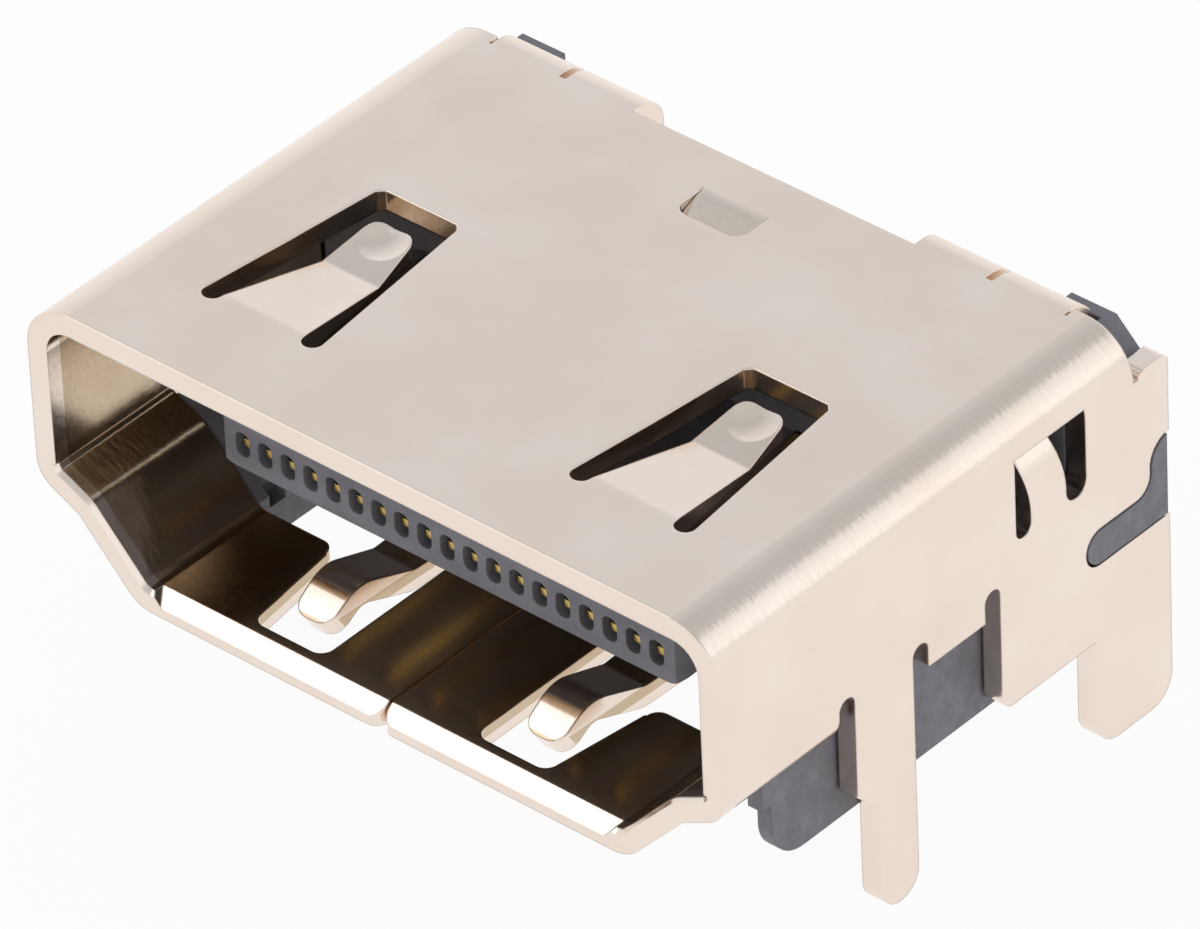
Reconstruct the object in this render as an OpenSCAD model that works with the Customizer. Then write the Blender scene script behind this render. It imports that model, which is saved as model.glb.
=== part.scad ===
// Right-angle board socket for a 19-contact digital video plug.
// The origin is on the board, midway between the four solder legs. The mouth faces -Y and +Z is up.

/* [Mouth] */
// Width inside the mouth
mouth_w = 14.1; // [13.4:0.1:15]
// Height inside the mouth
mouth_h = 4.55; // [4.4:0.05:5]
// Height of the side shoulders above the floor of the mouth
shoulder_h = 1.6; // [1.5:0.05:1.75]
// Length of a shoulder, down its slope
shoulder_len = 0.8; // [0.7:0.05:1]
// Slope of a shoulder, in degrees below level
shoulder_tilt = 26; // [20:1:32]
// Slope of the cheek between a shoulder and the floor, in degrees below level
cheek_tilt = 47; // [44:1:58]

/* [Sheet] */
// Thickness of the shell's sheet
sheet_t = 0.42; // [0.3:0.02:0.5]
// Inside radius of the two bends between the roof and the walls
roof_bend_r = 0.55; // [0.4:0.05:0.8]
// Inside radius of the bends between the cheeks and the floor
floor_bend_r = 0.3; // [0.2:0.05:0.4]
// Height of the bevel inside the mouth's lower edge, along the floor
bevel_h = 0.24; // [0.15:0.01:0.26]
// Depth of that bevel
bevel_d = 0.3; // [0.2:0.02:0.4]
// Length over which that bevel runs out at the cheek
bevel_end = 0.2; // [0.1:0.02:0.4]
// Height of the small chamfer that carries on along the cheek and the shoulder
chamfer_h = 0.08; // [0.04:0.01:0.12]
// Depth of that chamfer
chamfer_d = 0.1; // [0.06:0.01:0.14]
// Inside radius of the small folds
fold_r = 0.15; // [0.1:0.05:0.25]
// Gap of the butt seam along the middle of the floor
seam_gap = 0.06; // [0.04:0.02:0.2]
// Radius of the seam's two corners at the mouth
seam_corner_r = 0.25; // [0.1:0.05:0.4]
// Height of the floor's underside above the board
floor_lift = 0.4; // [0.3:0.05:0.6]

/* [Roof] */
// How far the roof's rear edge lies ahead of the walls' rear edges
roof_setback = 1.1; // [0.9:0.05:1.4]
// How far the roof's rear corners lie ahead of the walls' rear edges
corner_setback = 0.87; // [0.7:0.01:1]
// Distance of each spring finger from the middle
finger_x = 4; // [3.6:0.1:4.3]
// Distance of the fingers' roots from the mouth
finger_setback = 2; // [1.6:0.1:2.4]
// Width of a finger at its root
finger_root_w = 1.8; // [1.6:0.1:2]
// Width of a finger at its tip
finger_tip_w = 1; // [0.8:0.1:1.2]
// Length of the finger's slope down into the mouth
finger_slope_len = 2; // [1.8:0.1:2.3]
// Slope of the finger down into the mouth, in degrees
finger_dip = 10; // [6:1:14]
// Length of the finger's pad, which turns up again
finger_pad_len = 1.25; // [1:0.05:1.4]
// Slope of the finger's pad, in degrees
finger_pad_tilt = 14; // [8:1:20]
// Radius of the finger tip's corners
finger_tip_r = 0.3; // [0.2:0.05:0.4]
// Depth of the round dish pressed into the finger's pad
finger_dish = 0.06; // [0.03:0.01:0.1]
// Radius of the ball that pressed it
finger_ball_r = 1.4; // [1:0.05:1.6]
// Width of the slot beside a finger's root
finger_slot_w = 0.4; // [0.3:0.05:0.5]
// Width of a finger's window at its rear edge
finger_window_w = 1.8; // [1.6:0.02:2]
// Gap between a finger's tip and its window's rear edge
finger_tip_gap = 0.6; // [0.4:0.05:0.8]
// Chamfer of the window's two rear corners
finger_window_c = 0.12; // [0.06:0.02:0.3]

/* [Roof tab] */
// Width of the lanced tab near the roof's rear edge
roof_tab_w = 1.38; // [1.1:0.02:1.6]
// Distance of that tab's hinge from the roof's rear edge
roof_tab_setback = 0.92; // [0.8:0.02:1.1]
// Length of that tab
roof_tab_len = 0.75; // [0.6:0.05:0.9]
// Slope of that tab down into the housing, in degrees
roof_tab_dip = 22; // [15:1:30]
// Radius of that tab's corners
roof_tab_r = 0.25; // [0.1:0.05:0.35]
// Gap around that tab in its window
roof_tab_gap = 0.02; // [0.01:0.01:0.1]

/* [Rear tabs] */
// Width of each tab bent down at the rear
rear_tab_w = 1.5; // [1.3:0.05:1.55]
// Distance of the outer rear tab's middle from the inside of the wall
rear_tab_inset = 1.6; // [1.5:0.01:1.7]
// Spacing of the two rear tabs on each side
rear_tab_pitch = 1.65; // [1.6:0.05:1.8]
// Flat run of a rear tab behind the roof's rear edge
rear_tab_run = 0.18; // [0.1:0.02:0.24]
// Gap beside the outer rear tab
rear_tab_gap = 0.06; // [0.04:0.01:0.15]
// Length of a rear tab below its bend
rear_tab_len = 0.75; // [0.5:0.05:1]

/* [Floor springs] */
// Distance of each floor spring from the seam
spring_x = 2.52; // [2.45:0.01:2.6]
// Width of a floor spring at its root
spring_w = 1.05; // [0.95:0.05:1.1]
// Width of a floor spring at its tip
spring_tip_w = 0.8; // [0.7:0.05:0.9]
// Distance of the window's inner edge from the middle of its floor spring
spring_window_in = 0.86; // [0.8:0.01:0.92]
// Width of the window around a floor spring, at the window's front edge
spring_window_w = 1.57; // [1.45:0.01:1.7]
// Width of that window at the flap's rear edge
spring_window_rear_w = 1.85; // [1.7:0.01:2]
// Distance of that window from the mouth
spring_window_y = 0.49; // [0.4:0.01:0.6]
// Radius of that window's corners and of the flap's rear corner beside it
spring_window_r = 0.25; // [0.15:0.05:0.35]
// Gap between the spring's tip and the window's front edge
spring_tip_gap = 0.62; // [0.4:0.02:0.7]
// Length of the spring's rise
spring_rise_len = 0.95; // [0.7:0.05:1.1]
// Slope of the rise, in degrees
spring_rise = 20; // [14:1:24]
// Length of the spring's fall to its tip
spring_fall_len = 0.55; // [0.4:0.05:0.7]
// Slope of the fall, in degrees
spring_fall = 32; // [24:1:36]
// Inside radius of the spring's hump
spring_hump_r = 0.35; // [0.25:0.05:0.45]
// Radius of the spring tip's corners
spring_tip_r = 0.3; // [0.2:0.05:0.4]
// Depth of the strip that carries the springs at the rear of the floor
spring_root_d = 1.15; // [0.8:0.05:1.3]

/* [Walls and legs] */
// Distance of the front legs' middle from the mouth
leg_setback = 4.2; // [4:0.05:4.4]
// Spacing of the front and rear legs
leg_pitch = 6; // [5.7:0.05:6.3]
// Length of the legs below the board's top face
leg_len = 2.05; // [1.6:0.05:3]
// Width of a front leg
front_leg_w = 0.93; // [0.8:0.01:1]
// Width of a front leg above its step
front_leg_head_w = 1.42; // [1.3:0.02:1.5]
// Height of that step above the board
leg_step_z = 0.15; // [0.05:0.05:0.3]
// Width of a rear leg
rear_leg_w = 1.94; // [1.8:0.02:2.1]
// Radius of a rear leg's lower corners
rear_leg_r = 0.55; // [0.4:0.05:0.7]
// Width of the plate that carries a rear leg
plate_w = 4.3; // [4.1:0.05:4.5]
// Height of that plate's lower edge above the board
plate_z = 0.2; // [0.1:0.05:0.3]
// Radius of that plate's front corner
plate_r = 0.25; // [0.15:0.05:0.35]
// How far the wall hangs below the flap's fold between its legs
skirt_h = 0.28; // [0.2:0.02:0.36]
// Width of the relief slots beside the legs
relief_w = 0.4; // [0.3:0.02:0.44]
// How far the relief slots rise above the flap's fold
relief_h = 0.28; // [0.2:0.02:0.4]
// Gap between the roof's rear corner and the ear at the top of each wall
ear_gap = 0.12; // [0.08:0.02:0.2]
// Height of the ear above the start of the roof's bend
ear_h = 0.15; // [0.1:0.01:0.25]
// Radius of the ear's corners
ear_r = 0.15; // [0.1:0.01:0.2]

/* [Wall slot] */
// Length of the slot in each wall's rear edge
rear_slot_len = 2.15; // [2:0.05:2.3]
// Height of that slot
rear_slot_h = 0.75; // [0.6:0.05:0.85]
// Height of that slot's lower edge above the board
rear_slot_z = 1.7; // [1.5:0.05:1.9]
// Width of the notch that rises from the slot's open end
rear_notch_w = 0.5; // [0.4:0.05:0.6]
// Height of that notch above the slot
rear_notch_h = 0.97; // [0.8:0.01:1.1]
// Radius between the slot and the notch
rear_notch_r = 0.35; // [0.2:0.05:0.4]

/* [Wall tabs] */
// Distance of the lanced wall tab from the wall's rear edge
wall_tab_setback = 3.05; // [2.95:0.01:3.15]
// Width of the wall tab
wall_tab_w = 0.87; // [0.75:0.01:0.95]
// Height of the wall tab's root below the start of the roof's bend
wall_tab_drop = 1.07; // [0.97:0.01:1.17]
// Inside radius of the wall tab's curve
wall_tab_r = 0.8; // [0.6:0.05:0.9]
// Slope of the wall tab's end into the housing, in degrees
wall_tab_dip = 40; // [32:1:44]
// Length of the wall tab's straight end
wall_tab_len = 0.35; // [0.25:0.01:0.4]
// Width of the slot ahead of the wall tab
wall_slot_front_w = 0.4; // [0.3:0.02:0.5]
// Width of the slot behind the wall tab
wall_slot_rear_w = 0.53; // [0.4:0.01:0.6]
// How far both slots reach below the wall tab's root
wall_slot_drop = 0.36; // [0.3:0.02:0.45]
// How far the wall tab's window rises past the start of the roof's bend
wall_window_rise = 0.2; // [0.1:0.02:0.3]

/* [Housing] */
// Clearance between the housing and the shell
fit = 0.05; // [0.03:0.01:0.08]
// Depth of the housing's block behind the mouth
block_d = 3.45; // [3.3:0.05:3.6]
// Gap between the shell's floor and the block
floor_gap = 0.25; // [0.15:0.05:0.4]
// Width of the recess for the tails between the block's rear posts
recess_w = 11; // [10.4:0.1:11.4]
// Distance of the rails' front ends from the mouth
rail_setback = 1.65; // [1.4:0.05:1.9]
// Thickness of a rail where it stands under the flap
rail_wall_t = 0.3; // [0.25:0.01:0.4]
// Length of the lip ahead of a rail's front end
rail_lip = 0.22; // [0.15:0.01:0.3]
// Height of that lip's underside above the board
rail_lip_z = 1.25; // [1.1:0.05:1.4]
// Gap between a rail and the foot of the cheek
rail_gap = 0.1; // [0.05:0.05:0.2]
// Radius of a rail's lower front corner
rail_r = 0.75; // [0.5:0.05:0.9]
// Side of the square notch in a rail's inner face
rail_notch = 0.4; // [0.3:0.02:0.5]
// Distance of that notch behind the flap
rail_notch_y = 0.3; // [0.2:0.02:0.5]
// Clearance around the shell's lanced tabs in the housing
tab_clear = 0.12; // [0.08:0.01:0.2]

/* [Tongue] */
// Width of the tongue
tongue_w = 10.35; // [10:0.05:10.6]
// Thickness of the tongue
tongue_t = 1.6; // [1.5:0.02:1.7]
// Height of the tongue's underside above the floor of the mouth
tongue_lift = 1.73; // [1.6:0.01:1.8]
// Distance of the tongue's face from the mouth
tongue_setback = 1.83; // [1.6:0.01:2]
// Radius of the tongue's long edges
tongue_r = 0.5; // [0.2:0.05:0.5]
// Chamfer of the tongue's two front corners
tongue_c = 0.28; // [0.1:0.02:0.3]
// Width of the pockets in the tongue's face
pocket_w = 0.31; // [0.3:0.01:0.36]
// Height of those pockets
pocket_h = 0.48; // [0.46:0.02:0.6]
// Depth of those pockets
pocket_d = 0.32; // [0.24:0.02:0.34]
// Radius of those pockets' corners
pocket_r = 0.14; // [0.08:0.01:0.14]

/* [Contacts] */
// Spacing of the contacts
contact_pitch = 0.5; // [0.48:0.01:0.52]
// Width of a contact
contact_w = 0.18; // [0.14:0.01:0.22]
// Thickness of a contact
contact_t = 0.15; // [0.1:0.01:0.18]
// Inside radius of a contact's bends
contact_r = 0.1; // [0.08:0.01:0.15]
// Clearance around a contact in the housing
contact_fit = 0.03; // [0.02:0.005:0.04]
// Distance of the contacts' noses behind the tongue's face
nose_setback = 0.12; // [0.06:0.01:0.16]
// Length of a nose's straight run
nose_len = 0.3; // [0.3:0.02:0.4]
// Length of the upright run between a nose and its beam in the lower row
nose_rise = 0.02; // [0.01:0.01:0.05]
// Gap between the lower edge of a pocket and the nose in it
nose_gap = 0.12; // [0.08:0.01:0.16]
// Gap between the block and the contacts' tails
tail_gap = 0.15; // [0.12:0.01:0.3]
// Length of the flat foot of each tail
foot_len = 0.9; // [0.6:0.05:1.2]

/* [Hidden] */
$fn = 64;
contact_count = 19;
shell_colour = [0.85, 0.81, 0.76];
housing_colour = [0.36, 0.36, 0.39];
contact_colour = [0.85, 0.71, 0.36];
// How far a cutting shape passes the face that it opens
past = 0.5;
// How far the tongue and the rails reach into what carries them
reach_in = 0.5;
// How far the bevel's and the chamfer's cuts pass the two faces that they open
bevel_past = 0.1;
chamfer_past = 0.05;

// Heights above the board
floor_z = floor_lift + sheet_t;
roof_z = floor_z + mouth_h;
wall_top = roof_z - roof_bend_r;
wall_tab_z = wall_top - wall_tab_drop;
tongue_z = floor_z + tongue_lift;
tongue_top = tongue_z + tongue_t;

// The mouth's right half: wall, shoulder, cheek and floor meet at these corners, measured from its floor
half_w = mouth_w / 2;
shoulder = [half_w, shoulder_h];
cheek = shoulder - shoulder_len * [cos(shoulder_tilt), sin(shoulder_tilt)];
cheek_len = cheek[1] / sin(cheek_tilt);
foot = [cheek[0] - cheek_len * cos(cheek_tilt), 0];

// Lengths that the bends take from the straight runs on both sides of them
shoulder_cut = fold_r * tan((90 - shoulder_tilt) / 2);
cheek_cut = (fold_r + sheet_t) * tan((cheek_tilt - shoulder_tilt) / 2);
foot_cut = floor_bend_r * tan(cheek_tilt / 2);
fold_z = floor_z + shoulder_h + shoulder_cut;

// Distances behind the mouth
leg_rear = leg_setback + front_leg_w / 2;
leg_head_y = leg_rear - front_leg_head_w;
flap_d = leg_head_y - relief_w;
side_d = leg_setback + leg_pitch + rear_leg_w / 2;
plate_y = side_d - plate_w;
roof_d = side_d - roof_setback;
corner_d = side_d - corner_setback;
block_y = roof_d - block_d;
floor_d = block_y - floor_gap;
spring_root_y = floor_d - spring_root_d;
roof_tab_y = roof_d - roof_tab_setback;
wall_tab_y = side_d - wall_tab_setback;
nose_y = tongue_setback + nose_setback;
tail_y = roof_d + tail_gap;

// Roof finger, seen from above
finger_tip_y = finger_setback + finger_slope_len + finger_pad_len;
finger_window_y = finger_tip_y + finger_tip_gap;
finger_window_root_w = finger_root_w + 2 * finger_slot_w;

// Rear tabs on each side, from the wall inwards
rear_tabs = [for (k = [0, 1]) half_w - rear_tab_inset - k * rear_tab_pitch];

// Noses, and the pockets around them in the tongue's face
nose_z = tongue_z + contact_t + 2 * contact_r + nose_rise;
nose_bend_y = nose_y + nose_len + 2 * contact_r + contact_t;
pocket_z = nose_z - nose_gap;

// Where the mouth's edge lies in the part's own frame
mouth_y = -leg_setback - leg_pitch / 2;

function contact_x(i) = (i - (contact_count + 1) / 2) * contact_pitch;
function is_upper(i) = i % 2 == 1;
function beam_z(i) = is_upper(i) ? tongue_top - contact_t : tongue_z;
function contact_name(i) = str("contact_", i < 10 ? "0" : "", i);

// A corner moved out by a distance from the two lines that meet there, whose outward normals are n and m
function moved_corner(p, n, m, distance) = p + distance * (n + m) / (1 + n * m);

// Bend of a strip around the origin, from the upright line, which ends the run before it, to that line
// turned, which starts the run after it
module bend(turn, r, t) {
    reach = 2 * (r + t);
    intersection() {
        difference() {
            circle(r + t);
            circle(r);
        }
        translate([0, -reach]) square([reach, 2 * reach]);
        rotate(-turn) translate([-reach, -reach]) square([reach, 2 * reach]);
    }
}

// Section of a bent strip, drawn along one face with the strip on the left. Each step is a run, then a bend
// in degrees, right if positive, and the bend's inside radius.
module strip(steps, t, i = 0) {
    if (i < len(steps)) {
        run = steps[i][0];
        turn = steps[i][1];
        r = steps[i][2];
        centre = turn > 0 ? -r : t + r;
        if (run > 0) {
            square([run, t]);
        }
        if (turn != 0) {
            translate([run, centre]) {
                bend(turn, r, t);
                rotate(-turn) translate([0, -centre]) strip(steps, t, i + 1);
            }
        }
    }
}

// Triangle that cuts a bevel, from the sheet's inside face at x = 0 and the mouth at y = 0
module bevel_outline(h, d, beyond) {
    slope = d / h;
    polygon([[-beyond, -d - beyond * slope], [h + beyond / slope, beyond], [-beyond, beyond]]);
}

// The chamfer's cut along a strip, with the same steps as the strip
module chamfer(steps, t, i = 0) {
    if (i < len(steps)) {
        run = steps[i][0];
        turn = steps[i][1];
        r = steps[i][2];
        centre = turn > 0 ? -r : t + r;
        reach = 2 * (r + t);
        if (run > 0) {
            rotate([90, 0, 90]) linear_extrude(run) bevel_outline(chamfer_h, chamfer_d, chamfer_past);
        }
        if (turn != 0) {
            translate([run, centre, 0]) {
                intersection() {
                    rotate_extrude() {
                        translate([abs(centre), 0]) mirror([turn > 0 ? 0 : 1, 0]) {
                            bevel_outline(chamfer_h, chamfer_d, chamfer_past);
                        }
                    }
                    translate([0, -reach, -reach]) cube([reach, 2 * reach, 2 * reach]);
                    rotate(-turn) translate([-reach, -reach, -reach]) cube([reach, 2 * reach, 2 * reach]);
                }
                rotate(-turn) translate([0, -centre, 0]) chamfer(steps, t, i + 1);
            }
        }
    }
}

// Strip of sheet from the origin along +Y, with its inside face down
module bent_sheet(steps, width) {
    rotate([90, 0, 90]) linear_extrude(width, center = true) strip(steps, sheet_t);
}

// A section in X and Z, carried back from the mouth
module carried_back(from, to) {
    translate([0, to, 0]) rotate([90, 0, 0]) linear_extrude(to - from) children();
}

// An outline in Y and Z, made as thick as given towards +X
module upright(thickness) {
    rotate([90, 0, 90]) linear_extrude(thickness) children();
}

module both_sides() {
    children();
    mirror([1, 0, 0]) children();
}

// Rectangle with round corners, placed by its lower left corner
module round_rect(size, r) {
    translate([r, 0]) square([size[0] - 2 * r, size[1]]);
    translate([0, r]) square([size[0], size[1] - 2 * r]);
    for (x = [r, size[0] - r]) {
        for (y = [r, size[1] - r]) {
            translate([x, y]) circle(r);
        }
    }
}

// Slot that stands on its open end, with a round top
module relief(y, width, from, to) {
    translate([y, from]) square([width, to - from - width / 2]);
    translate([y + width / 2, to - width / 2]) circle(width / 2);
}

// Roof with half of each side bend
module roof_section() {
    both_sides() {
        translate([0, roof_z]) strip([[half_w - roof_bend_r, 90, roof_bend_r]], sheet_t);
    }
}

// Window around a roof finger, with a round slot at each side of the root
module finger_window() {
    root = finger_window_root_w / 2;
    rear = finger_window_w / 2;
    polygon([
        [-root, 0],
        [root, 0],
        [rear, finger_window_y - finger_setback - finger_window_c],
        [rear - finger_window_c, finger_window_y - finger_setback],
        [finger_window_c - rear, finger_window_y - finger_setback],
        [-rear, finger_window_y - finger_setback - finger_window_c]
    ]);
    for (side = [-1, 1]) {
        translate([side * (root - finger_slot_w / 2), 0]) circle(finger_slot_w / 2);
    }
}

// Finger seen from above: straight sides from the root, which touch the round corners of the tip
module finger_outline() {
    root = finger_root_w / 2;
    end = finger_slope_len + finger_pad_len;
    corner = [finger_tip_w / 2 - finger_tip_r, end - finger_tip_r];
    lean = acos(finger_tip_r / norm([root - corner[0], corner[1]])) - atan2(corner[1], root - corner[0]);
    both_sides() {
        polygon([
            [0, 0],
            [root, 0],
            corner + finger_tip_r * [cos(lean), sin(lean)],
            corner,
            [corner[0], end],
            [0, end]
        ]);
        translate(corner) circle(finger_tip_r);
    }
}

module roof_finger() {
    steps = [
        [0, finger_dip, fold_r],
        [finger_slope_len, -finger_dip - finger_pad_tilt, fold_r],
        [finger_pad_len, 0, 0]
    ];
    pad_y = finger_slope_len + finger_pad_len / 2;
    pad_z = finger_pad_len / 2 * sin(finger_pad_tilt) - finger_slope_len * sin(finger_dip);
    ball_z = pad_z + sheet_t * cos(finger_pad_tilt) + finger_ball_r - finger_dish;
    difference() {
        intersection() {
            bent_sheet(steps, finger_root_w);
            translate([0, 0, -mouth_h / 2]) linear_extrude(mouth_h) finger_outline();
        }
        translate([0, pad_y, ball_z]) sphere(finger_ball_r);
    }
}

// Roof tab seen from above, from its hinge, grown by a distance
module roof_tab_outline(grow) {
    width = roof_tab_w + 2 * grow;
    reach = roof_tab_len + grow;
    intersection() {
        translate([-width / 2, -reach]) round_rect([width, 2 * reach], roof_tab_r + grow);
        translate([-width / 2, 0]) square([width, reach]);
    }
}

module roof_tab() {
    intersection() {
        bent_sheet([[0, roof_tab_dip, fold_r], [roof_tab_len, 0, 0]], roof_tab_w);
        translate([0, 0, -mouth_h / 2]) linear_extrude(mouth_h) roof_tab_outline(0);
    }
}

module roof_cuts() {
    for (side = [-1, 1]) {
        translate([side * finger_x, finger_setback]) finger_window();
    }
    translate([0, roof_tab_y]) mirror([0, 1]) roof_tab_outline(roof_tab_gap);
    rear = rear_tabs[0] + rear_tab_w / 2 + rear_tab_gap;
    translate([-rear, roof_d]) square([2 * rear, roof_setback]);
}

module roof() {
    difference() {
        carried_back(0, corner_d) roof_section();
        translate([0, 0, roof_z - past]) linear_extrude(sheet_t + 2 * past) roof_cuts();
        both_sides() wall_window_cut();
    }
    for (side = [-1, 1]) {
        translate([side * finger_x, finger_setback, roof_z]) roof_finger();
    }
    translate([0, roof_tab_y, roof_z]) mirror([0, 1, 0]) roof_tab();
    rear_tab_steps = [[rear_tab_run, 90, fold_r], [rear_tab_len, 0, 0]];
    for (x = concat(rear_tabs, -rear_tabs)) {
        translate([x, roof_d, roof_z]) bent_sheet(rear_tab_steps, rear_tab_w);
    }
}

// Front leg, with a slanted step down to its round tip
module front_leg_outline() {
    narrow_y = leg_rear - front_leg_w;
    polygon([
        [leg_head_y, fold_z],
        [leg_rear, fold_z],
        [leg_rear, front_leg_w / 2 - leg_len],
        [narrow_y, front_leg_w / 2 - leg_len],
        [narrow_y, leg_step_z],
        [leg_head_y, leg_step_z + front_leg_head_w - front_leg_w]
    ]);
    translate([leg_setback, front_leg_w / 2 - leg_len]) circle(front_leg_w / 2);
}

// Rear plate, which ends in the rear leg
module rear_leg_outline() {
    translate([plate_y, plate_z]) round_rect([plate_w, fold_z - plate_z + plate_r], plate_r);
    translate([side_d - rear_leg_w, -leg_len]) round_rect([rear_leg_w, leg_len + fold_z], rear_leg_r);
    translate([side_d - rear_leg_w, plate_z]) square([rear_leg_w, fold_z - plate_z]);
}

// Slot in the wall's rear edge, with a notch that rises from its open end, drawn smaller by a distance all
// round
module rear_slot(inset = 0) {
    r = rear_slot_h / 2 - inset;
    front = side_d - rear_slot_len + inset;
    slot_z = rear_slot_z + inset;
    notch_y = side_d - rear_notch_w + inset;
    corner_r = rear_notch_r + inset;
    translate([front + r, slot_z]) square([rear_slot_len, 2 * r]);
    translate([front + r, slot_z + r]) circle(r);
    relief(notch_y, 2 * rear_notch_w, slot_z + r, rear_slot_z + rear_slot_h + rear_notch_h - inset);
    difference() {
        translate([notch_y - corner_r, slot_z + r]) square([corner_r + r, r + corner_r]);
        translate([notch_y - corner_r, slot_z + 2 * r + corner_r]) circle(corner_r);
    }
}

// Window of the wall tab, with a round slot at each side of the tab's root
module wall_window() {
    front = wall_tab_y - wall_tab_w / 2 - wall_slot_front_w;
    rear = wall_tab_y + wall_tab_w / 2 + wall_slot_rear_w;
    translate([front, wall_tab_z]) square([rear - front, wall_top + wall_window_rise - wall_tab_z]);
    translate([0, 2 * wall_tab_z]) mirror([0, 1]) {
        relief(front, wall_slot_front_w, wall_tab_z, wall_tab_z + wall_slot_drop);
        relief(rear - wall_slot_rear_w, wall_slot_rear_w, wall_tab_z, wall_tab_z + wall_slot_drop);
    }
}

// The wall tab's window also cuts the start of the roof's bend
module wall_window_cut() {
    translate([half_w - roof_bend_r, 0, 0]) upright(roof_bend_r + sheet_t + past) wall_window();
}

module wall_outline() {
    relief_top = fold_z + relief_h;
    ear_w = side_d - corner_d - ear_gap;
    difference() {
        union() {
            translate([0, fold_z]) square([side_d, wall_top - fold_z]);
            translate([leg_head_y, fold_z - skirt_h]) square([side_d - leg_head_y, skirt_h]);
            front_leg_outline();
            rear_leg_outline();
            translate([corner_d + ear_gap, fold_z]) round_rect([ear_w, wall_top + ear_h - fold_z], ear_r);
        }
        relief(flap_d, relief_w, fold_z - past, relief_top);
        relief(leg_rear, relief_w, fold_z - past, relief_top);
        relief(plate_y - relief_w, relief_w, fold_z - past, relief_top);
        rear_slot();
        wall_window();
    }
}

module wall() {
    translate([half_w, 0, 0]) upright(sheet_t) wall_outline();
    translate([half_w, wall_tab_y, wall_tab_z]) rotate([90, 0, 90]) {
        bent_sheet([[0, wall_tab_dip, wall_tab_r], [wall_tab_len, 0, 0]], wall_tab_w);
    }
}

// Right half of the flap and the floor, seen from above
module floor_outline() {
    seam = seam_gap / 2;
    window = spring_x - spring_window_in;
    spring_edge = spring_x + spring_w / 2;
    window_rear = window + spring_window_rear_w;
    r = spring_window_r;
    difference() {
        union() {
            translate([seam, 0]) square([half_w + sheet_t - seam + past, flap_d]);
            translate([seam, 0]) square([window - seam, floor_d]);
            translate([seam, spring_root_y]) square([spring_edge - seam, spring_root_d]);
        }
        translate([window, spring_window_y]) round_rect([spring_window_w, 4 * r], r);
        polygon([
            [window, spring_window_y + r],
            [window + spring_window_w, spring_window_y + r],
            [window_rear, flap_d],
            [window_rear, spring_root_y],
            [window, spring_root_y]
        ]);
        difference() {
            translate([window_rear - r, flap_d - r]) square([2 * r, 2 * r]);
            translate([window_rear + r, flap_d - r]) circle(r);
        }
        difference() {
            translate([seam, 0]) square(seam_corner_r);
            translate([seam + seam_corner_r, seam_corner_r]) circle(seam_corner_r);
        }
    }
}

// Cut of the wide bevel along the right half of the floor, which runs out where the cheek starts
module floor_bevel() {
    end = foot[0] - foot_cut;
    low = -2 * bevel_h;
    intersection() {
        translate([-past, 0, floor_z]) rotate([0, 90, 0]) linear_extrude(end + 2 * past) {
            mirror([0, 1]) bevel_outline(bevel_h, bevel_d, bevel_past);
        }
        carried_back(-past, past) translate([0, floor_z]) {
            polygon([
                [-past, low],
                [end + low * bevel_end / bevel_h, low],
                [end + past * bevel_end / bevel_h, past],
                [-past, past]
            ]);
        }
    }
}

// Flap folded in under the wall: shoulder, cheek and half of the floor
module flap() {
    steps = [
        [0, 90 - shoulder_tilt, fold_r],
        [shoulder_len - shoulder_cut - cheek_cut, shoulder_tilt - cheek_tilt, fold_r],
        [cheek_len - cheek_cut - foot_cut, cheek_tilt, floor_bend_r],
        [foot[0] - foot_cut, 0, 0]
    ];
    difference() {
        intersection() {
            difference() {
                carried_back(0, floor_d) translate([half_w, fold_z]) rotate(-90) strip(steps, sheet_t);
                rotate([90, 0, 0]) translate([half_w, fold_z, 0]) rotate(-90) chamfer(steps, sheet_t);
            }
            linear_extrude(roof_z) floor_outline();
        }
        floor_bevel();
    }
    translate([spring_x, spring_root_y, floor_z]) floor_spring();
}

// Floor spring seen from above, from its root: it narrows as far as the round corners of its tip
module spring_outline(reach) {
    both_sides() {
        polygon([
            [0, 0],
            [spring_w / 2, 0],
            [spring_tip_w / 2, reach - spring_tip_r],
            [spring_tip_w / 2, reach + past],
            [0, reach + past]
        ]);
    }
}

// Cuts that round the two corners of a sheet's end, which lies on the X axis with the sheet behind it
module tip_corners(width, r) {
    both_sides() {
        translate([width / 2 - r, -r, -past]) linear_extrude(sheet_t + 2 * past) {
            difference() {
                square(2 * r);
                circle(r);
            }
        }
    }
}

// Floor spring, from its root towards the mouth: level, up to the hump, then down to the tip
module floor_spring() {
    hump = spring_hump_r + sheet_t;
    bends_len = spring_hump_r * sin(spring_rise) + hump * (sin(spring_rise) + sin(spring_fall));
    slopes_len = spring_rise_len * cos(spring_rise) + spring_fall_len * cos(spring_fall);
    reach = spring_root_y - spring_window_y - spring_tip_gap;
    steps = [
        [reach - bends_len - slopes_len, spring_rise, spring_hump_r],
        [spring_rise_len, -spring_rise - spring_fall, spring_hump_r],
        [spring_fall_len, 0, 0]
    ];
    rise_h = spring_hump_r * (1 - cos(spring_rise)) + spring_rise_len * sin(spring_rise);
    fall_h = hump * (cos(spring_rise) - cos(spring_fall)) + spring_fall_len * sin(spring_fall);
    rotate([180, 0, 0]) difference() {
        intersection() {
            bent_sheet(steps, spring_w);
            translate([0, 0, -mouth_h / 2]) linear_extrude(mouth_h) spring_outline(reach);
        }
        translate([0, reach, fall_h - rise_h]) rotate([spring_fall, 0, 0]) {
            tip_corners(spring_tip_w, spring_tip_r);
        }
    }
}

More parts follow.
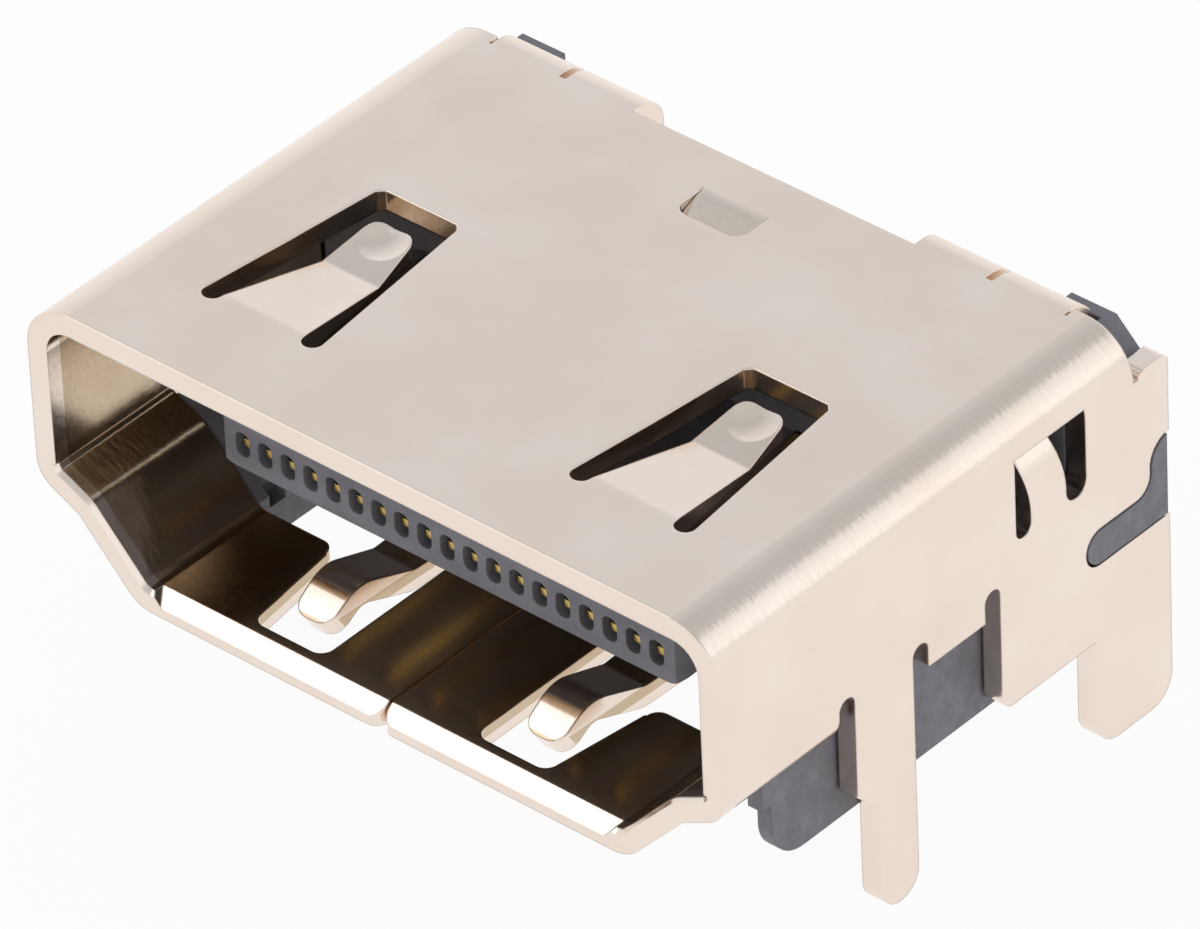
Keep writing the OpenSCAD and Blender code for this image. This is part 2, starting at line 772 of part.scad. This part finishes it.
module shell() {
    color(shell_colour) translate([0, mouth_y, 0]) {
        roof();
        both_sides() {
            wall();
            flap();
        }
    }
}

// Right half of the mouth's section, grown by a distance at its shoulder, cheek and floor
module mouth_section(grow) {
    across = [1, 0];
    shoulder_n = [sin(shoulder_tilt), -cos(shoulder_tilt)];
    cheek_n = [sin(cheek_tilt), -cos(cheek_tilt)];
    down = [0, -1];
    translate([0, floor_z]) {
        polygon([
            [0, mouth_h],
            [half_w + grow, mouth_h],
            moved_corner(shoulder, across, shoulder_n, grow),
            moved_corner(cheek, shoulder_n, cheek_n, grow),
            moved_corner(foot, cheek_n, down, grow),
            [0, -grow]
        ]);
    }
}

// Section of the right rail, below the mouth's section
module rail_section(grow) {
    inner = foot[0] + rail_gap;
    difference() {
        translate([inner, 0]) square([half_w - fit - inner, floor_z + shoulder_h]);
        mouth_section(grow);
    }
}

// Side view of the rail's wall under the flap: round below, with a lip above
module rail_wall_outline() {
    translate([rail_setback, 0]) round_rect([block_y, roof_z], rail_r);
    translate([rail_setback - rail_lip, rail_lip_z]) square([block_y, roof_z]);
}

// Right rail: a thin wall under the flap, and behind the flap it carries on the mouth's shape
module rail() {
    step_y = flap_d + fit;
    intersection() {
        carried_back(0, step_y + reach_in) rail_section(sheet_t + fit);
        translate([half_w - fit - rail_wall_t, 0, 0]) upright(rail_wall_t) rail_wall_outline();
    }
    difference() {
        carried_back(step_y, block_y + reach_in) rail_section(fit);
        translate([foot[0], flap_d + rail_notch_y, floor_z - rail_notch / 2]) {
            cube([rail_notch, rail_notch, rail_notch]);
        }
    }
}

// Right lug that fills the slot in the wall's rear edge
module lug() {
    translate([half_w - past, 0, 0]) upright(past + sheet_t) {
        intersection() {
            rear_slot(fit);
            square([side_d - fit, roof_z]);
        }
    }
}

// Section of the block, inside the roof's bends
module block_section() {
    side = half_w - fit;
    top = roof_z - fit;
    polygon([
        [-side, 0],
        [side, 0],
        [side, top - roof_bend_r],
        [side - roof_bend_r, top],
        [roof_bend_r - side, top],
        [-side, top - roof_bend_r]
    ]);
}

// Room for the shell's roof tab, wall tabs and outer rear tabs
module tab_pockets() {
    roof_pocket_d = roof_tab_len * sin(roof_tab_dip) + tab_clear;
    roof_pocket_y = roof_tab_y - roof_tab_len - tab_clear;
    translate([-roof_tab_w / 2 - tab_clear, roof_pocket_y, roof_z - roof_pocket_d]) {
        cube([roof_tab_w + 2 * tab_clear, roof_tab_len + 2 * tab_clear, roof_pocket_d]);
    }
    wall_tab_depth = wall_tab_r * (1 - cos(wall_tab_dip)) + wall_tab_len * sin(wall_tab_dip) + tab_clear;
    wall_pocket_y = wall_tab_y - wall_tab_w / 2 - wall_slot_front_w;
    wall_pocket_w = wall_slot_front_w + wall_tab_w + wall_slot_rear_w;
    wall_pocket_z = wall_tab_z - wall_slot_drop;
    rear_tab_reach = rear_tab_run + fold_r + sheet_t + fit;
    rear_tab_z = roof_z - fold_r - rear_tab_len - tab_clear;
    both_sides() {
        translate([half_w - wall_tab_depth, wall_pocket_y, wall_pocket_z]) {
            cube([wall_tab_depth, wall_pocket_w, wall_top - wall_pocket_z]);
        }
        translate([rear_tabs[0] - rear_tab_w / 2 - tab_clear, roof_d, rear_tab_z]) {
            cube([rear_tab_w + 2 * tab_clear, rear_tab_reach, roof_z - rear_tab_z]);
        }
    }
}

// Tongue, with the front corners chamfered as seen from above
module tongue() {
    side = tongue_w / 2;
    end = block_y + reach_in;
    intersection() {
        carried_back(tongue_setback, end) {
            translate([-side, tongue_z]) round_rect([tongue_w, tongue_t], tongue_r);
        }
        linear_extrude(roof_z) {
            polygon([
                [-side, tongue_setback + tongue_c],
                [tongue_c - side, tongue_setback],
                [side - tongue_c, tongue_setback],
                [side, tongue_setback + tongue_c],
                [side, end],
                [-side, end]
            ]);
        }
    }
}

// Room for one contact: the nose's room, the way up or down to the beam, the groove along the tongue and
// through the block, and the pocket
module contact_room(i) {
    width = contact_w + 2 * contact_fit;
    front = nose_y - contact_fit;
    knee = nose_y + nose_len - contact_fit;
    bent = nose_bend_y + contact_fit;
    rear = roof_d + past;
    low = nose_z - contact_fit;
    high = nose_z + contact_t + contact_fit;
    beam_low = beam_z(i) - contact_fit;
    beam_high = beam_z(i) + contact_t + contact_fit;
    nose_end = is_upper(i) ? bent : knee;
    groove_start = is_upper(i) ? knee : bent;
    translate([contact_x(i) - width / 2, 0, 0]) upright(width) {
        polygon([
            [front, low],
            [nose_end, low],
            [nose_end, beam_low],
            [rear, beam_low],
            [rear, beam_high],
            [groove_start, beam_high],
            [groove_start, high],
            [front, high]
        ]);
    }
    carried_back(tongue_setback - past, tongue_setback + pocket_d) {
        translate([contact_x(i) - pocket_w / 2, pocket_z]) round_rect([pocket_w, pocket_h], pocket_r);
    }
}

module housing() {
    recess_y = side_d - roof_d;
    color(housing_colour) translate([0, mouth_y, 0]) {
        difference() {
            union() {
                carried_back(block_y, side_d - fit) block_section();
                tongue();
                both_sides() {
                    rail();
                    lug();
                }
            }
            translate([-recess_w / 2, roof_d, -past]) cube([recess_w, recess_y, roof_z + past]);
            tab_pockets();
            for (i = [1 : contact_count]) {
                contact_room(i);
            }
        }
    }
}

// One contact: its nose, the way up or down to its beam, the beam, the tail and the foot
module contact(i) {
    turn = is_upper(i) ? -90 : 90;
    climb = abs(beam_z(i) - nose_z) - contact_t - 2 * contact_r;
    steps = [
        [nose_len, turn, contact_r],
        [climb, -turn, contact_r],
        [tail_y - contact_r - nose_bend_y, 90, contact_r],
        [beam_z(i) - 2 * contact_r - contact_t, -90, contact_r],
        [foot_len, 0, 0]
    ];
    color(contact_colour) translate([contact_x(i) - contact_w / 2, mouth_y, 0]) {
        upright(contact_w) translate([nose_y, nose_z]) strip(steps, contact_t);
    }
}

shell();
housing();
for (i = [1 : contact_count]) {
    contact(i);
}
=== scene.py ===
# %% [markdown]
# # A board-mount audio-video socket
#
# This lesson dresses a small right-angle socket: a folded sheet shell, a dark moulded housing and a row of
# plated contacts. The solids come from the CAD model and already have the right shape, so what is left for
# Blender is what the eye reads as metal, plastic and gold.
#
# The model is loaded first, and its box is kept, because nothing that follows may change the object's size.

# %% Load the model
import math

import bmesh
import bpy
from mathutils import Matrix, Vector


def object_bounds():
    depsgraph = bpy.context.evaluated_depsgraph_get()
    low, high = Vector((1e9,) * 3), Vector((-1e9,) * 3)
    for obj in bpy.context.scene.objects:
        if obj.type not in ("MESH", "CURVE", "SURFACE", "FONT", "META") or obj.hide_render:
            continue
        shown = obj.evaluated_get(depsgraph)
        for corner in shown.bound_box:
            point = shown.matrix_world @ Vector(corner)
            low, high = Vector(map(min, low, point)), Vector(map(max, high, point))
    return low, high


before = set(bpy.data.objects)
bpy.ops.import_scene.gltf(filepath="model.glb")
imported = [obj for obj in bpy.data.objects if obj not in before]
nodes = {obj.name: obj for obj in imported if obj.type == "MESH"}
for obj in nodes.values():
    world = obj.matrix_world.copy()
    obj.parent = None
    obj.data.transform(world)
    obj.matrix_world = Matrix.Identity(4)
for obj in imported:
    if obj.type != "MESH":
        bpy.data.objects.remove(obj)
cad_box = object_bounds()
print("nodes:", len(nodes), "size in mm:", [round(1000 * (b - a), 2) for a, b in zip(*cad_box)])

# %% [markdown]
# ## Camera
#
# The socket is seen from the front, the right and above through a long lens, so its edges stay nearly
# parallel. The camera stands on a sphere around an aim point: a turn about the upright axis, a height above
# the horizon and a small roll place it. The three turns multiply in that order, and the camera then backs
# away along its own Z axis.

# %% Place the camera
MM = 0.001
AIM = Vector((0.30, -1.96, 2.86)) * MM
CAMERA_DISTANCE = 214.9 * MM
CAMERA_TURN, CAMERA_HEIGHT, CAMERA_ROLL = (math.radians(a) for a in (42.84, 36.71, -2.74))

camera = bpy.data.objects.new("camera", bpy.data.cameras.new("camera"))
bpy.context.scene.collection.objects.link(camera)
camera.data.lens = 394.1
camera.data.sensor_width = 36
camera.data.clip_start = 0.01
facing = (
    Matrix.Rotation(CAMERA_TURN, 4, "Z")
    @ Matrix.Rotation(math.pi / 2 - CAMERA_HEIGHT, 4, "X")
    @ Matrix.Rotation(CAMERA_ROLL, 4, "Z")
)
camera.matrix_world = Matrix.Translation(AIM) @ facing @ Matrix.Translation((0, 0, CAMERA_DISTANCE))
bpy.context.scene.camera = camera
print("camera at mm:", [round(c / MM, 1) for c in camera.matrix_world.translation])

# %% [markdown]
# ## A helper for materials
#
# Every finish below is a small network of nodes. One function adds a node of any kind, fills its sockets with
# values and joins the outputs of earlier nodes to it, so that a network reads from top to bottom. Colours are
# written as the hex values that a picture editor shows, and are turned to the linear values that Blender
# works with. A pattern's size is given in millimetres: a texture's scale is how many of them fit in a metre.

# %% Helpers for node networks
def linear(hex_colour):
    """Turn an sRGB hex colour into the linear RGBA that a socket takes."""
    channels = [int(hex_colour[i : i + 2], 16) / 255 for i in (1, 3, 5)]
    return [c / 12.92 if c <= 0.04045 else ((c + 0.055) / 1.055) ** 2.4 for c in channels] + [1.0]


def per_metre(size_mm):
    """Turn a pattern's size in millimetres into a texture scale."""
    return 1 / (size_mm * MM)


def add(tree, kind, values=None, links=None, **settings):
    """Add a node with its settings and its sockets' values, and link other nodes' outputs to its sockets."""
    node = tree.nodes.new("ShaderNode" + kind)
    for name, value in settings.items():
        setattr(node, name, value)
    for name, value in (values or {}).items():
        node.inputs[name].default_value = value
    for name, output in (links or {}).items():
        tree.links.new(output, node.inputs[name])
    return node


def new_material(name):
    """Make an empty material and return it with its tree, its output and the Object coordinates."""
    material = bpy.data.materials.new(name)
    material.use_nodes = True
    tree = material.node_tree
    tree.nodes.clear()
    output = add(tree, "OutputMaterial")
    coords = add(tree, "TexCoord").outputs["Object"]
    return material, tree, output, coords


def colour_ramp(ramp, stops):
    """Give a Color Ramp node its stops, each a place and a hex colour."""
    elements = ramp.color_ramp.elements
    while len(elements) < len(stops):
        elements.new(1.0)
    for element, (place, hex_colour) in zip(elements, stops):
        element.position = place
        element.color = linear(hex_colour)


print("the grey #808080 in linear light:", round(linear("#808080")[0], 3))

# %% [markdown]
# ## Nickel-plated sheet
#
# The shell is cut from copper-alloy sheet, plated with nickel and folded. Nickel is a warm, slightly yellow
# white. Inside the mouth the sheet gets a darker, browner tint, which is painted shade of that dim hollow.
# So there are two tints, each varied by a broad cloud.

# %% Nickel-plated sheet: two tints
sheet, tree, output, coords = new_material("nickel_plated_sheet")
cloud = add(tree, "TexNoise", {"Scale": per_metre(2.2), "Detail": 3.0, "Roughness": 0.55}, {"Vector": coords})
outer = add(tree, "ValToRGB", links={"Fac": cloud.outputs["Fac"]})
colour_ramp(outer, [(0.3, "#ecdbcd"), (0.7, "#f0e2d6")])
# Inside tint: painted shade, a darker and browner nickel for the dim hollow of the mouth
shaded_inner_tint = add(tree, "ValToRGB", links={"Fac": cloud.outputs["Fac"]})
colour_ramp(shaded_inner_tint, [(0.3, "#c2a98c"), (0.7, "#d0bca2")])
print("tints:", outer.name, "outside and", shaded_inner_tint.name, "inside")

# %% [markdown]
# A chain of tests tells the inside from the outside. Each test looks at a point's place or at the way its
# surface faces, gives 0 or 1, and is joined to the tests before it: MAXIMUM reads as "or", MINIMUM as "and".
# Most of the planes that bound the inside follow from the model's box and the sheet's thickness. A small
# margin keeps a face that lies on such a plane clear of rounding.

# %% Nickel-plated sheet: inside or outside
SHEET = 0.42 * MM
MOUTH_HEIGHT = 4.55 * MM
EDGE_BEVEL = 0.3 * MM
SPRINGS_REACH = 3.5 * MM
UPPER_HALF = 3.0 * MM
REAR_TABS = 2.9 * MM
LOOKING_DOWN = -0.1
MARGIN = 0.02 * MM

wall_x = cad_box[1].x - SHEET
roof_z = cad_box[1].z - SHEET
floor_z = roof_z - MOUTH_HEIGHT
bevel_y = cad_box[0].y + EDGE_BEVEL

place = add(tree, "SeparateXYZ", links={"Vector": coords}).outputs
normal = add(tree, "SeparateXYZ", links={"Vector": add(tree, "NewGeometry").outputs["Normal"]}).outputs
across = add(tree, "Math", links={0: place["X"]}, operation="ABSOLUTE").outputs[0]
# These tests mark the inside of the mouth, where the sheet gets its painted shade tint
tests = [
    (None, across, "GREATER_THAN", SPRINGS_REACH),  # beside the floor springs
    ("MAXIMUM", place["Z"], "LESS_THAN", floor_z + MARGIN),  # or no higher than the floor
    ("MINIMUM", normal["Z"], "GREATER_THAN", LOOKING_DOWN),  # and not looking down
    ("MAXIMUM", place["Z"], "GREATER_THAN", UPPER_HALF),  # or in the upper half of the mouth
    ("MINIMUM", across, "LESS_THAN", wall_x + MARGIN),  # and between the walls
    ("MINIMUM", place["Z"], "LESS_THAN", roof_z + MARGIN),  # and under the roof
    ("MINIMUM", place["Z"], "GREATER_THAN", floor_z - SHEET / 2),  # and above the floor's underside
    ("MINIMUM", place["Y"], "GREATER_THAN", bevel_y + MARGIN),  # and behind the mouth's bevelled edge
    ("MINIMUM", place["Y"], "LESS_THAN", REAR_TABS),  # and ahead of the rear tabs
]
inside = None
for joined_by, value, compare, limit in tests:
    test = add(tree, "Math", {1: limit}, {0: value}, operation=compare).outputs[0]
    if joined_by:
        test = add(tree, "Math", links={0: inside, 1: test}, operation=joined_by).outputs[0]
    inside = test

# Inside the mask the painted shade tint takes the place of the outside tint
# A Mix node for colours takes them at sockets 6 and 7 and gives the result at output 2
tint = add(
    tree, "Mix", links={0: inside, 6: outer.outputs["Color"], 7: shaded_inner_tint.outputs["Color"]}, data_type="RGBA"
)
print("tests for the inside:", len(tests))

# %% [markdown]
# The plating follows the grain of the rolled sheet, so it is satin rather than mirror bright, with a
# roughness of about 0.2. Faint lines from the rolls run along the sheet. Real grain and lines are far too
# fine to show at this distance, so both are drawn coarser, at 0.07 and 0.06 mm.

# %% Nickel-plated sheet: grain and lines
grain = add(tree, "TexNoise", {"Scale": per_metre(0.07), "Detail": 2.0}, {"Vector": coords})
line_size = (per_metre(0.06), per_metre(1.8), per_metre(0.06))
rolled = add(tree, "Mapping", {"Scale": line_size}, {"Vector": coords})
lines = add(tree, "TexNoise", {"Scale": 1.0, "Detail": 2.0}, {"Vector": rolled.outputs["Vector"]})
surface = add(
    tree, "Math", {1: 0.5}, {0: grain.outputs["Fac"], 2: lines.outputs["Fac"]}, operation="MULTIPLY_ADD"
)
satin = add(
    tree,
    "MapRange",
    {"From Min": 0.3, "From Max": 0.7, "To Min": 0.15, "To Max": 0.22},
    {"Value": grain.outputs["Fac"]},
)
print("nodes for tint, grain and lines:", len(tree.nodes))

# %% [markdown]
# Where a bend stretched the sheet, the grain opens into streaks and sparkles around it. The product of the
# normal's X and Z is greatest halfway round a bend and nothing on the flats, so it keeps the streaks to the
# bends. A Bevel node rounds the punched edges for the light alone, which leaves the CAD mesh as it is.

# %% Nickel-plated sheet: streaks and rounded edges
slanted = add(tree, "Math", links={0: normal["X"], 1: normal["Z"]}, operation="MULTIPLY")
slanted = add(tree, "Math", links={0: slanted.outputs[0]}, operation="ABSOLUTE")
streak_size = (per_metre(0.3), per_metre(0.1), per_metre(0.3))
around = add(tree, "Mapping", {"Scale": streak_size}, {"Vector": coords})
stretched = add(tree, "TexNoise", {"Scale": 1.0, "Detail": 3.0}, {"Vector": around.outputs["Vector"]})
peel = add(tree, "Math", links={0: slanted.outputs[0], 1: stretched.outputs["Fac"]}, operation="MULTIPLY")

rounded = add(tree, "Bevel", {"Radius": 0.06 * MM}, samples=8)
fine_bump = add(
    tree,
    "Bump",
    {"Strength": 0.5, "Distance": 0.0012 * MM},
    {"Height": surface.outputs["Value"], "Normal": rounded.outputs["Normal"]},
)
bump = add(
    tree,
    "Bump",
    {"Strength": 0.5, "Distance": 0.02 * MM},
    {"Height": peel.outputs[0], "Normal": fine_bump.outputs["Normal"]},
)
nickel = add(
    tree,
    "BsdfPrincipled",
    {"Metallic": 1.0},
    {
        "Base Color": tint.outputs[2],
        "Roughness": satin.outputs["Result"],
        "Normal": bump.outputs["Normal"],
    },
)
tree.links.new(nickel.outputs["BSDF"], output.inputs["Surface"])
print("made", sheet.name, "with", len(tree.nodes), "nodes")

# %% [markdown]
# ## Moulded plastic
#
# The housing is a glass-filled plastic that withstands soldering. It leaves the mould a dull purple-grey,
# with faint flow streaks along the way that the melt ran, and short glass fibres at its skin break up its
# gloss. The fibres are too thin to show, so their flecks are drawn 0.09 mm wide. Plastic isn't a metal, so
# its gloss comes from its IOR, and the roughness is high.

# %% Moulded plastic
plastic, tree, output, coords = new_material("glass_filled_plastic")
flow_size = (per_metre(1.2), per_metre(0.35), per_metre(0.5))
flow = add(tree, "Mapping", {"Scale": flow_size}, {"Vector": coords}).outputs["Vector"]
streaks = add(tree, "TexNoise", {"Scale": 1.0, "Detail": 4.0, "Roughness": 0.6}, {"Vector": flow})
shade = add(tree, "ValToRGB", links={"Fac": streaks.outputs["Fac"]})
colour_ramp(shade, [(0.3, "#66646a"), (0.5, "#6f6d73"), (0.7, "#7a787e")])

fleck = add(tree, "TexNoise", {"Scale": per_metre(0.09), "Detail": 3.0}, {"Vector": coords})
dull = add(
    tree,
    "MapRange",
    {"From Min": 0.3, "From Max": 0.7, "To Min": 0.42, "To Max": 0.62},
    {"Value": fleck.outputs["Fac"]},
)
rounded = add(tree, "Bevel", {"Radius": 0.04 * MM}, samples=6)
bump = add(
    tree,
    "Bump",
    {"Strength": 0.6, "Distance": 0.006 * MM},
    {"Height": fleck.outputs["Fac"], "Normal": rounded.outputs["Normal"]},
)
moulded = add(
    tree,
    "BsdfPrincipled",
    {"IOR": 1.55},
    {
        "Base Color": shade.outputs["Color"],
        "Roughness": dull.outputs["Result"],
        "Normal": bump.outputs["Normal"],
    },
)
tree.links.new(moulded.outputs["BSDF"], output.inputs["Surface"])
print("made", plastic.name, "with", len(tree.nodes), "nodes")

# %% [markdown]
# ## Gold-plated contacts
#
# Each contact is a thin bent strip with a flash of gold over nickel. So thin a plating is paler than solid
# gold, and it keeps the drawing lines that run along the strip. They are drawn 0.03 mm wide, coarser than
# real ones, so that a few show on each strip.

# %% Gold-plated contacts
gold, tree, output, coords = new_material("gold_plated_strip")
drawn_size = (per_metre(0.03), per_metre(0.8), per_metre(0.8))
drawn = add(tree, "Mapping", {"Scale": drawn_size}, {"Vector": coords})
lines = add(tree, "TexNoise", {"Scale": 1.0, "Detail": 2.0}, {"Vector": drawn.outputs["Vector"]})
tint = add(tree, "ValToRGB", links={"Fac": lines.outputs["Fac"]})
colour_ramp(tint, [(0.3, "#c3a25a"), (0.7, "#d9bd78")])
satin = add(
    tree,
    "MapRange",
    {"From Min": 0.3, "From Max": 0.7, "To Min": 0.18, "To Max": 0.3},
    {"Value": lines.outputs["Fac"]},
)
rounded = add(tree, "Bevel", {"Radius": 0.02 * MM}, samples=6)
plated = add(
    tree,
    "BsdfPrincipled",
    {"Metallic": 1.0},
    {
        "Base Color": tint.outputs["Color"],
        "Roughness": satin.outputs["Result"],
        "Normal": rounded.outputs["Normal"],
    },
)
tree.links.new(plated.outputs["BSDF"], output.inputs["Surface"])
print("made", gold.name, "with", len(tree.nodes), "nodes")

# %% [markdown]
# ## Finishes onto the solids
#
# The CAD solids keep their own meshes. A finish is given to a solid by putting it in the solid's material
# slot.

# %% Give each solid its finish
finishes = {"shell": sheet, "housing": plastic}
for name, solid in nodes.items():
    solid.data.materials.clear()
    solid.data.materials.append(finishes.get(name, gold))
print("contacts in gold:", sum(name not in finishes for name in nodes))

# %% [markdown]
# ## Floor
#
# The socket stands on its leg tips on a plain white table. A floor that is only lit would show the metal a
# grey underside, so for the camera and for reflections most of its white is its own, and the rest is lit and
# keeps a faint shadow. Is Camera Ray, Is Glossy Ray and Is Transmission Ray tell those rays from the ones
# that carry light.

# %% White floor
FLOOR_SIZE = 2.0
FLOOR_OWN_WHITE = 0.94
white, tree, output, _ = new_material("white_table")
rays = add(tree, "LightPath").outputs
seen = add(tree, "Math", links={0: rays["Is Camera Ray"], 1: rays["Is Glossy Ray"]}, operation="MAXIMUM")
seen = add(tree, "Math", links={0: seen.outputs[0], 1: rays["Is Transmission Ray"]}, operation="MAXIMUM")
own = add(tree, "Math", {1: FLOOR_OWN_WHITE}, {0: seen.outputs[0]}, operation="MULTIPLY")
lit = add(tree, "BsdfDiffuse", {"Color": linear("#f7f7f7")})
glow = add(tree, "Emission", {"Color": (1, 1, 1, 1), "Strength": 1.0})
mixed = add(tree, "MixShader", links={0: own.outputs[0], 1: lit.outputs[0], 2: glow.outputs[0]})
tree.links.new(mixed.outputs[0], output.inputs["Surface"])

plane = bmesh.new()
bmesh.ops.create_grid(plane, x_segments=1, y_segments=1, size=FLOOR_SIZE / 2)
bmesh.ops.translate(plane, vec=(0, 0, cad_box[0].z), verts=plane.verts)
floor_mesh = bpy.data.meshes.new("floor")
plane.to_mesh(floor_mesh)
plane.free()
floor = bpy.data.objects.new("floor", floor_mesh)
floor.data.materials.append(white)
bpy.context.scene.collection.objects.link(floor)
print("floor at mm:", round(cad_box[0].z / MM, 2))

# %% [markdown]
# ## Studio light
#
# A product photograph of bright metal is mostly a picture of what the metal reflects. The world is a pale
# room, white near the horizon and a little greyer overhead, which leaves the roof a shade darker than the
# walls. The camera sees it plain white.

# %% World
world = bpy.data.worlds.new("studio")
world.use_nodes = True
bpy.context.scene.world = world
tree = world.node_tree
tree.nodes.clear()
output = add(tree, "OutputWorld")
rays = add(tree, "LightPath").outputs
seen = add(
    tree, "Math", links={0: rays["Is Camera Ray"], 1: rays["Is Transmission Ray"]}, operation="MAXIMUM"
)
direction = add(tree, "TexCoord").outputs["Generated"]
height = add(tree, "SeparateXYZ", links={"Vector": direction}).outputs["Z"]
room = add(tree, "ValToRGB", links={"Fac": height})
colour_ramp(
    room,
    [(0.0, "#ffffff"), (0.36, "#f5f9fd"), (0.6, "#e4e8ed"), (0.82, "#c4c9cc"), (1.0, "#d2d6d8")],
)
light = add(tree, "Background", {"Strength": 1.0}, {"Color": room.outputs["Color"]})
backdrop = add(tree, "Background", {"Color": (1, 1, 1, 1), "Strength": 1.0})
mixed = add(tree, "MixShader", links={0: seen.outputs[0], 1: light.outputs[0], 2: backdrop.outputs[0]})
tree.links.new(mixed.outputs[0], output.inputs["Surface"])
print("made", world.name, "with", len(tree.nodes), "nodes")

# %% [markdown]
# Large soft boxes add the light that shapes the bends. A box's brightness is given as what it adds to the
# room behind it in a reflection, where 1 is white, and its power follows from its area.

# %% Soft boxes
def soft_box(name, turn, height, distance_mm, size_mm, brightness):
    """Hang a square soft box around the socket, facing it."""
    lamp = bpy.data.lights.new(name, "AREA")
    lamp.shape = "SQUARE"
    lamp.size = size_mm * MM
    lamp.energy = brightness * math.pi * lamp.size**2
    box = bpy.data.objects.new(name, lamp)
    bpy.context.scene.collection.objects.link(box)
    turned = Matrix.Rotation(math.radians(turn), 4, "Z") @ Matrix.Rotation(math.radians(90 - height), 4, "X")
    box.matrix_world = Matrix.Translation(AIM) @ turned @ Matrix.Translation((0, 0, distance_mm * MM))
    print(name, "power in W:", round(lamp.energy, 4))


soft_box("key_box", turn=-58, height=48, distance_mm=150, size_mm=76, brightness=1.15)
soft_box("rear_box", turn=140, height=31, distance_mm=150, size_mm=86, brightness=0.3)
soft_box("front_box", turn=44, height=27, distance_mm=240, size_mm=120, brightness=0.2)

# %% [markdown]
# ## View
#
# The Standard view shows each colour as it is written.

# %% Set the view and finish
bpy.context.scene.view_settings.view_transform = "Standard"
